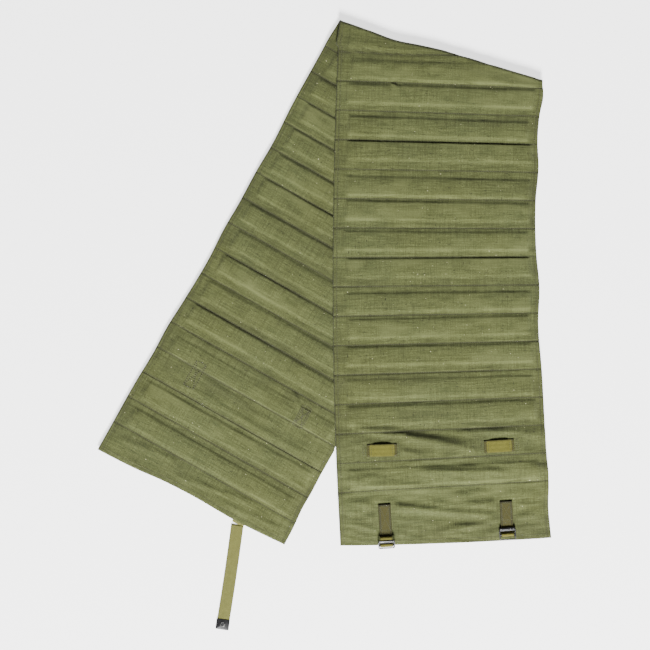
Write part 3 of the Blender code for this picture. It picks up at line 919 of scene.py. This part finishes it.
def ribbon(name, route, across, material, sewn=(), dark_at=None):
    """A band of webbing along a route of points, with rounded woven edges. Across is one direction, and
    dark_at says how much painted shade and dirt darken the band at a place across it and along it; both woven
    edges are darker as well."""
    half_width, half = WEB_HALF_WIDTH, WEB_HALF
    shoulder = half_width - half * 0.15
    route = np.asarray(route, float)
    across = vec(across) / np.linalg.norm(across)
    run = np.gradient(route, axis=0)
    run /= np.linalg.norm(run, axis=1, keepdims=True)
    facing = np.cross(across, run)
    facing /= np.linalg.norm(facing, axis=1, keepdims=True)
    steps = np.linspace(-1, 1, 25)
    profile = [(x * (half_width - half * 0.7), half * (1 + 0.10 * math.cos(9 * x))) for x in steps]
    profile += [(shoulder, half * 0.6), (half_width, 0), (shoulder, -half * 0.6)]
    profile += [(x * (half_width - half * 0.7), -half * (1 + 0.10 * math.cos(9 * x))) for x in steps[::-1]]
    profile += [(-shoulder, -half * 0.6), (-half_width, 0), (-shoulder, half * 0.6)]
    distance = np.concatenate([[0], np.cumsum(np.linalg.norm(np.diff(route, axis=0), axis=1))])
    points, cloth, dark = [], [], []
    for place, normal, gone in zip(route, facing, distance):
        for x, z in profile:
            points.append(place + across * x + normal * z)
            cloth.append((x, gone, z))
            shade_and_dirt = dark_at(x, gone, distance[-1]) if dark_at else 0.0
            dark.append(min(1.0, 0.5 * (abs(x) > half_width - 1.2) + shade_and_dirt))
    ring = len(profile)
    faces = loft_faces(len(route), ring)
    web_faces = len(faces)
    threads, thread_faces = thread_mesh(list(sewn))
    faces += [tuple(len(points) + corner for corner in face) for face in thread_faces]
    cloth += [(0, 0, 0)] * len(threads)
    dark += [0.0] * len(threads)
    points = points + threads
    face_material = [0] * web_faces + [1] * len(thread_faces)
    made = mesh_object(name, points, faces, [material, THREAD_DARK], cloth, dark, None, face_material)
    return made


def rounded_route(corners, step=1.2, passes=3):
    """A polyline with its corners cut, and points at an even step."""
    line = np.asarray(corners, float)
    for _ in range(passes):
        inner = np.empty((2 * (len(line) - 1), line.shape[1]))
        inner[0::2] = 0.75 * line[:-1] + 0.25 * line[1:]
        inner[1::2] = 0.25 * line[:-1] + 0.75 * line[1:]
        line = np.vstack([line[:1], inner, line[-1:]])
    gone = np.concatenate([[0], np.cumsum(np.linalg.norm(np.diff(line, axis=0), axis=1))])
    count = max(2, round(gone[-1] / step))
    places = np.linspace(0, gone[-1], count + 1)
    return np.stack([np.interp(places, gone, line[:, k]) for k in range(line.shape[1])], axis=1)


def flat_stitches(origin, x_axis, y_axis, z_axis, lines, height):
    """Stitches on a flat place, given by lines in its own two directions."""
    found = []
    for start, end in lines:
        places = stitch_places(start, end)
        lift = height + vec((-0.15, 0.2, -0.15))
        points = origin + places[..., :1] * x_axis + places[..., 1:] * y_axis + lift[None, :, None] * z_axis
        found.append((points, np.broadcast_to(z_axis, (len(points), 3))))
    return found


def hinge_frame(number):
    """Origin and axes of an upper seam's own frame."""
    x_axis = HINGE_ACROSS[number - 1]
    down = LINE_PLACES[number] - LINE_PLACES[number - 1]
    y_axis = -down / np.linalg.norm(down)
    return HINGE_PLACES[number - 1], x_axis, y_axis, np.cross(x_axis, y_axis)


def centre_of(node):
    low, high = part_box(node)
    return (vec(low) + vec(high)) / 2 / MM


def keeper_shade_and_dirt(x, gone, length):
    """Painted shade and dirt in the sewing at both ends, and painted shade along the edge away from the
    buckles.
    """
    near_end = min(gone, length - gone)
    return 0.75 * (near_end < 5.2) + 0.5 * (x < 2.5 - WEB_HALF_WIDTH)


def build_keepers():
    origin, x_axis, y_axis, z_axis = hinge_frame(13)
    half = KEEPER_HALF_LENGTH
    foot = half - KEEPER_FOOT
    for side in ("left", "right"):
        centre = centre_of("keeper_" + side)
        centre = centre - z_axis * np.dot(centre - origin, z_axis)
        turn = math.radians(-1.0 if side == "left" else 1.2)
        run = x_axis * math.cos(turn) + y_axis * math.sin(turn)
        over = np.cross(z_axis, run)
        base = 1.8 + WEB_HALF
        top = base + KEEPER_SAG * KEEPER_RISE
        shape = [(-half, base), (-foot, base), (-foot + KEEPER_RAMP, top - 0.5), (0, top)]
        shape += [(foot - KEEPER_RAMP, top - 0.5), (foot, base), (half, base)]
        route = [centre + run * x + z_axis * z for x, z in rounded_route(shape, 1.0)]
        reach = WEB_HALF_WIDTH - 1.8
        lines = []
        for end in (-1, 1):
            for x in (half - 2.0, foot + 2.5):
                lines.append(((end * x, -reach), (end * x, reach)))
            lines.append(((end * (half - 2), -reach), (end * (foot + 2.5), -reach)))
            lines.append(((end * (half - 2), reach), (end * (foot + 2.5), reach)))
        sewn = flat_stitches(centre, run, over, z_axis, lines, base + WEB_HALF)
        made = ribbon("keeper_webbing_" + side, route, -over, KEEPER_WEB, sewn, keeper_shade_and_dirt)
        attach(made, "upper_13")
        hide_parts("keeper_" + side)


def tab_shade_and_dirt(x, gone, length):
    """The sewn part is painted darker than the loop, painted shade that leaves the loop looking lit; it is
    darkest along the sewing and at its end, as painted shade and dirt.
    """
    sewn = length / 2 - 24
    if gone > sewn and gone < length - sewn:
        return 0.0
    return 0.7 + 0.3 * (abs(abs(x) - 9.4) < 1.2) + 0.5 * (gone < 3.0)


def tangent(place, radius, side):
    """The angle at which a line from this place touches a circle round the origin."""
    return math.atan2(place[1], place[0]) + side * math.acos(radius / math.hypot(*place))


def build_tabs():
    origin, x_axis, y_axis, z_axis = hinge_frame(15)
    for side in ("left", "right"):
        bar = joint_place("buckle_pivot_" + side)
        corners = np.array([v.co for v in frame["nodes"]["buckle_tab_" + side].data.vertices]) / MM - bar
        length = (corners @ y_axis).max()
        over, under = (GRIP_START, TAB_LAYERS[1]), (GRIP_START + 1.5, TAB_LAYERS[0])
        first, last = tangent(over, LOOP_RADIUS, 1), 2 * math.pi + tangent(under, LOOP_RADIUS, -1)
        turns = np.linspace(first, last, 22)
        loop = [(LOOP_RADIUS * math.cos(a), LOOP_RADIUS * math.sin(a)) for a in turns]
        lower, upper = TAB_LAYERS
        high = rounded_route([(length, upper), (GRIP_START + 6, upper + 0.1), over, loop[0]], 1.2)
        low = rounded_route([loop[-1], under, (GRIP_START + 8, lower), (length - 0.4, lower)], 1.2)
        shape = [*high, *loop[1:-1], *low]
        route = [bar + y_axis * y + z_axis * z for y, z in shape]
        reach = WEB_HALF_WIDTH - 2.2
        start = GRIP_START + GRIP_DEPTH + 6
        lines = box_lines(-reach, reach, start + 8, length - 2.5)
        lines += box_lines(-reach + 1.8, reach - 1.8, start + 10, length - 4.5, crossed=False)
        lines.append(((-reach, start + 3), (reach, start + 3)))
        sewn = flat_stitches(bar, x_axis, y_axis, z_axis, lines, TAB_LAYERS[1] + WEB_HALF)
        made = ribbon("tab_webbing_" + side, route, x_axis, TAB_WEB, sewn, tab_shade_and_dirt)
        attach(made, "flap")
        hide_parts("buckle_tab_" + side)


def tube(name, route, radius, material, sides=12, closed=True):
    """A round wire along a route, which is a loop if it is closed."""
    route = np.asarray(route, float)
    if closed:
        run = np.roll(route, -1, axis=0) - np.roll(route, 1, axis=0)
    else:
        run = np.gradient(route, axis=0)
    run /= np.linalg.norm(run, axis=1, keepdims=True)
    middle_point = route.mean(axis=0)
    plane = np.cross(route[0] - middle_point, route[len(route) // 4] - middle_point)
    if np.linalg.norm(plane) < 1e-6:
        plane = np.cross(run[0], vec((0.3, 0.2, 1)))
    plane /= np.linalg.norm(plane)
    side_way = np.cross(run, plane)
    side_way /= np.linalg.norm(side_way, axis=1, keepdims=True)
    points = []
    for place, way in zip(route, side_way):
        for k in range(sides):
            angle = 2 * math.pi * k / sides
            points.append(place + radius * (math.cos(angle) * way + math.sin(angle) * plane))
    faces = loft_faces(len(route), sides, closed)
    made = mesh_object(name, points, faces, [material])
    return made


def round_rectangle(x0, x1, y0, y1, radius, steps=6):
    """Points round a rectangle with round corners."""
    places = []
    corners = ((x1 - radius, y1 - radius), (x0 + radius, y1 - radius), (x0 + radius, y0 + radius),
               (x1 - radius, y0 + radius))
    for quarter, (x, y) in enumerate(corners):
        for n in range(steps + 1):
            angle = math.pi / 2 * (quarter + n / steps)
            places.append((x + radius * math.cos(angle), y + radius * math.sin(angle)))
    return places


def plate(name, outline, low, high, bevel, origin, axes, material):
    """A flat outline with thickness and rounded edges, in its own frame."""
    x_axis, y_axis, z_axis = axes
    centre = np.mean(outline, axis=0)
    points = []
    levels = ((low, bevel), (low + bevel * 0.3, bevel * 0.3), (low + bevel, 0), (high - bevel, 0),
              (high - bevel * 0.3, bevel * 0.3), (high, bevel))
    for z, inset in levels:
        for place in outline:
            away = vec(place) - centre
            place = vec(place) - away / np.hypot(*away) * inset
            points.append(origin + place[0] * x_axis + place[1] * y_axis + z * z_axis)
    faces = loft_faces(len(levels), len(outline))
    made = mesh_object(name, points, faces, [material])
    return made


def build_buckles():
    _, x_axis, y_flat, z_flat = hinge_frame(15)
    for side in ("left", "right"):
        joint = JOINTS["buckle_pivot_" + side]
        rocked = math.radians(-joint["range_deg"][0])
        bar = joint_place(joint["name"])
        y_axis = y_flat * math.cos(rocked) + z_flat * math.sin(rocked)
        z_axis = np.cross(x_axis, y_axis)
        body = "buckle_" + side
        near = GRIP_START + GRIP_DEPTH / 2
        outline = round_rectangle(-RING_HALF_WIDTH, RING_HALF_WIDTH, RING_FAR, near, RING_CORNER)
        wire = [bar + x * x_axis + y * y_axis for x, y in outline]
        ring = tube("buckle_ring_" + side, wire, RING_WIRE, STEEL)
        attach(ring, body)
        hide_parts(body)
        half = RING_HALF_WIDTH
        outline = round_rectangle(-half, half, GRIP_START, GRIP_START + GRIP_DEPTH, 1.4)
        axes = (x_axis, y_axis, z_axis)
        grip = plate("buckle_grip_" + side, outline, -GRIP_UNDER, GRIP_TOP, 0.5, bar, axes, BLACK)
        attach(grip, body)
        line = [bar + x * x_axis for x in np.linspace(-half, half, 9)]
        rod = tube("buckle_bar_" + side, line, LOOP_BAR_RADIUS, BLACK, 16, closed=False)
        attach(rod, body)


def strap_line(node, y_axis):
    """The two ends of a straight strap's middle line, read from its CAD solid."""
    corners = np.array([v.co for v in frame["nodes"][node].data.vertices]) / MM
    middle_point = (corners.min(axis=0) + corners.max(axis=0)) / 2
    places = (corners - middle_point) @ y_axis
    near = corners[places > places.max() - 1].mean(axis=0)
    far = corners[places < places.min() + 1].mean(axis=0)
    return near, far


def tip(name, node, near, far, body):
    """A folded metal tip with a ring rivet through it."""
    run = (far - near) / np.linalg.norm(far - near)
    across = np.cross(run, UP)
    across /= np.linalg.norm(across)
    facing = np.cross(across, run)
    centre = centre_of(node)
    outline = round_rectangle(-TIP_HALF_WIDTH, TIP_HALF_WIDTH, -TIP_HALF, TIP_HALF, 1.6, 4)
    axes = (across, -run, facing)
    made = plate(name, outline, -TIP_FACE, TIP_FACE, 0.5, centre, axes, BLACK)
    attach(made, body)
    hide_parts(node)
    turns = np.linspace(0, 2 * math.pi, 33)[:-1]
    for level, label in ((TIP_FACE, "top"), (-TIP_FACE, "under")):
        middle_point = centre + facing * level
        circle = [middle_point + RIVET * (math.cos(a) * across + math.sin(a) * run) for a in turns]
        ring = tube(f"{name}_rivet_{label}", circle, RIVET_WIRE, STEEL, 10)
        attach(ring, body)


def build_straps():
    near, far = strap_line("strap_a", -LOWER_Y)
    route = rounded_route([near, (near + far) / 2, far], 6.0)
    made = ribbon("strap_a_webbing", route, LOWER_X, TAIL_WEB)
    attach(made, "lower_leg")
    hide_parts("strap_a")
    tip("strap_a_metal_tip", "strap_a_tip", near, far, "lower_leg")

    near, far = strap_line("strap_b_root", LOWER_Y)
    reach = far + (far - near) / np.linalg.norm(far - near) * TAIL_REACH
    made = ribbon("strap_b_sewn_webbing", rounded_route([near, far, reach], 6.0), LOWER_X, TAIL_WEB)
    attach(made, "lower_leg")
    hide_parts("strap_b_root")

    across = joint_across("strap_tail_lift")
    down = np.cross(across, UP)
    start = far
    near, far = strap_line("strap_b_tail", -down)
    near, far = sorted((near, far), key=lambda place: np.linalg.norm(place - start))
    run = far - near
    sway = [near + run * t + across * 0.9 * math.sin(math.pi * t) for t in np.linspace(0, 1, 9)]
    made = ribbon("strap_b_tail_webbing", rounded_route(sway, 4.0), across, TAIL_WEB)
    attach(made, "strap_tail")
    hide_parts("strap_b_tail")
    tip("strap_b_metal_tip", "strap_b_tail_tip", near, far, "strap_tail")


# Floor, light and camera.

FLOOR_HALF = 4000.0
FLOOR_LINES = 9  # of points, each way
FLOOR_LEVEL = -0.4
CAMERA_OVER = (0.0012, 0.00395)  # metres
MAT_TOP = 0.012  # metres


def build_floor():
    steps = np.linspace(-FLOOR_HALF, FLOOR_HALF, FLOOR_LINES)
    points = [(x, y, FLOOR_LEVEL) for y in steps for x in steps]
    firsts = [FLOOR_LINES * j + i for j in range(FLOOR_LINES - 1) for i in range(FLOOR_LINES - 1)]
    faces = [(at, at + 1, at + FLOOR_LINES + 1, at + FLOOR_LINES) for at in firsts]
    floor = mesh_object("floor", points, faces, [floor_material()])


def area_light(name, place, target, size, power):
    data = bpy.data.lights.new(name, "AREA")
    data.shape = "DISK"
    data.size = size
    data.energy = power
    lamp = bpy.data.objects.new(name, data)
    lamp.location = place
    way = vec(target) - vec(place)
    lamp.rotation_mode = "QUATERNION"
    lamp.rotation_quaternion = Vector(way).to_track_quat("-Z", "Y")
    bpy.context.scene.collection.objects.link(lamp)


def build_studio():
    area_light("key", (0.45, -6.6, 4.8), (0, 0, 0), 2.6, 3300)
    area_light("fill", (-0.6, 0.4, 3.6), (0, 0, 0), 3.0, 8)
    world = bpy.context.scene.world or bpy.data.worlds.new("studio")
    bpy.context.scene.world = world
    world.use_nodes = True
    background = world.node_tree.nodes["Background"]
    background.inputs["Color"].default_value = (1, 1, 1, 1)
    background.inputs["Strength"].default_value = 0.05


def build_camera():
    data = bpy.data.cameras.new("camera")
    data.lens = 85
    data.sensor_width = 36
    shown = 1.3  # metres across the frame, at the mat's top
    camera = bpy.data.objects.new("camera", data)
    camera.location = (*CAMERA_OVER, MAT_TOP + shown * data.lens / data.sensor_width)
    bpy.context.scene.collection.objects.link(camera)
    bpy.context.scene.camera = camera


build_mat()
build_keepers()
build_tabs()
build_buckles()
build_straps()
build_floor()
build_studio()
build_camera()


def corners(bounds):
    return [[float(value) for value in corner] for corner in bounds]
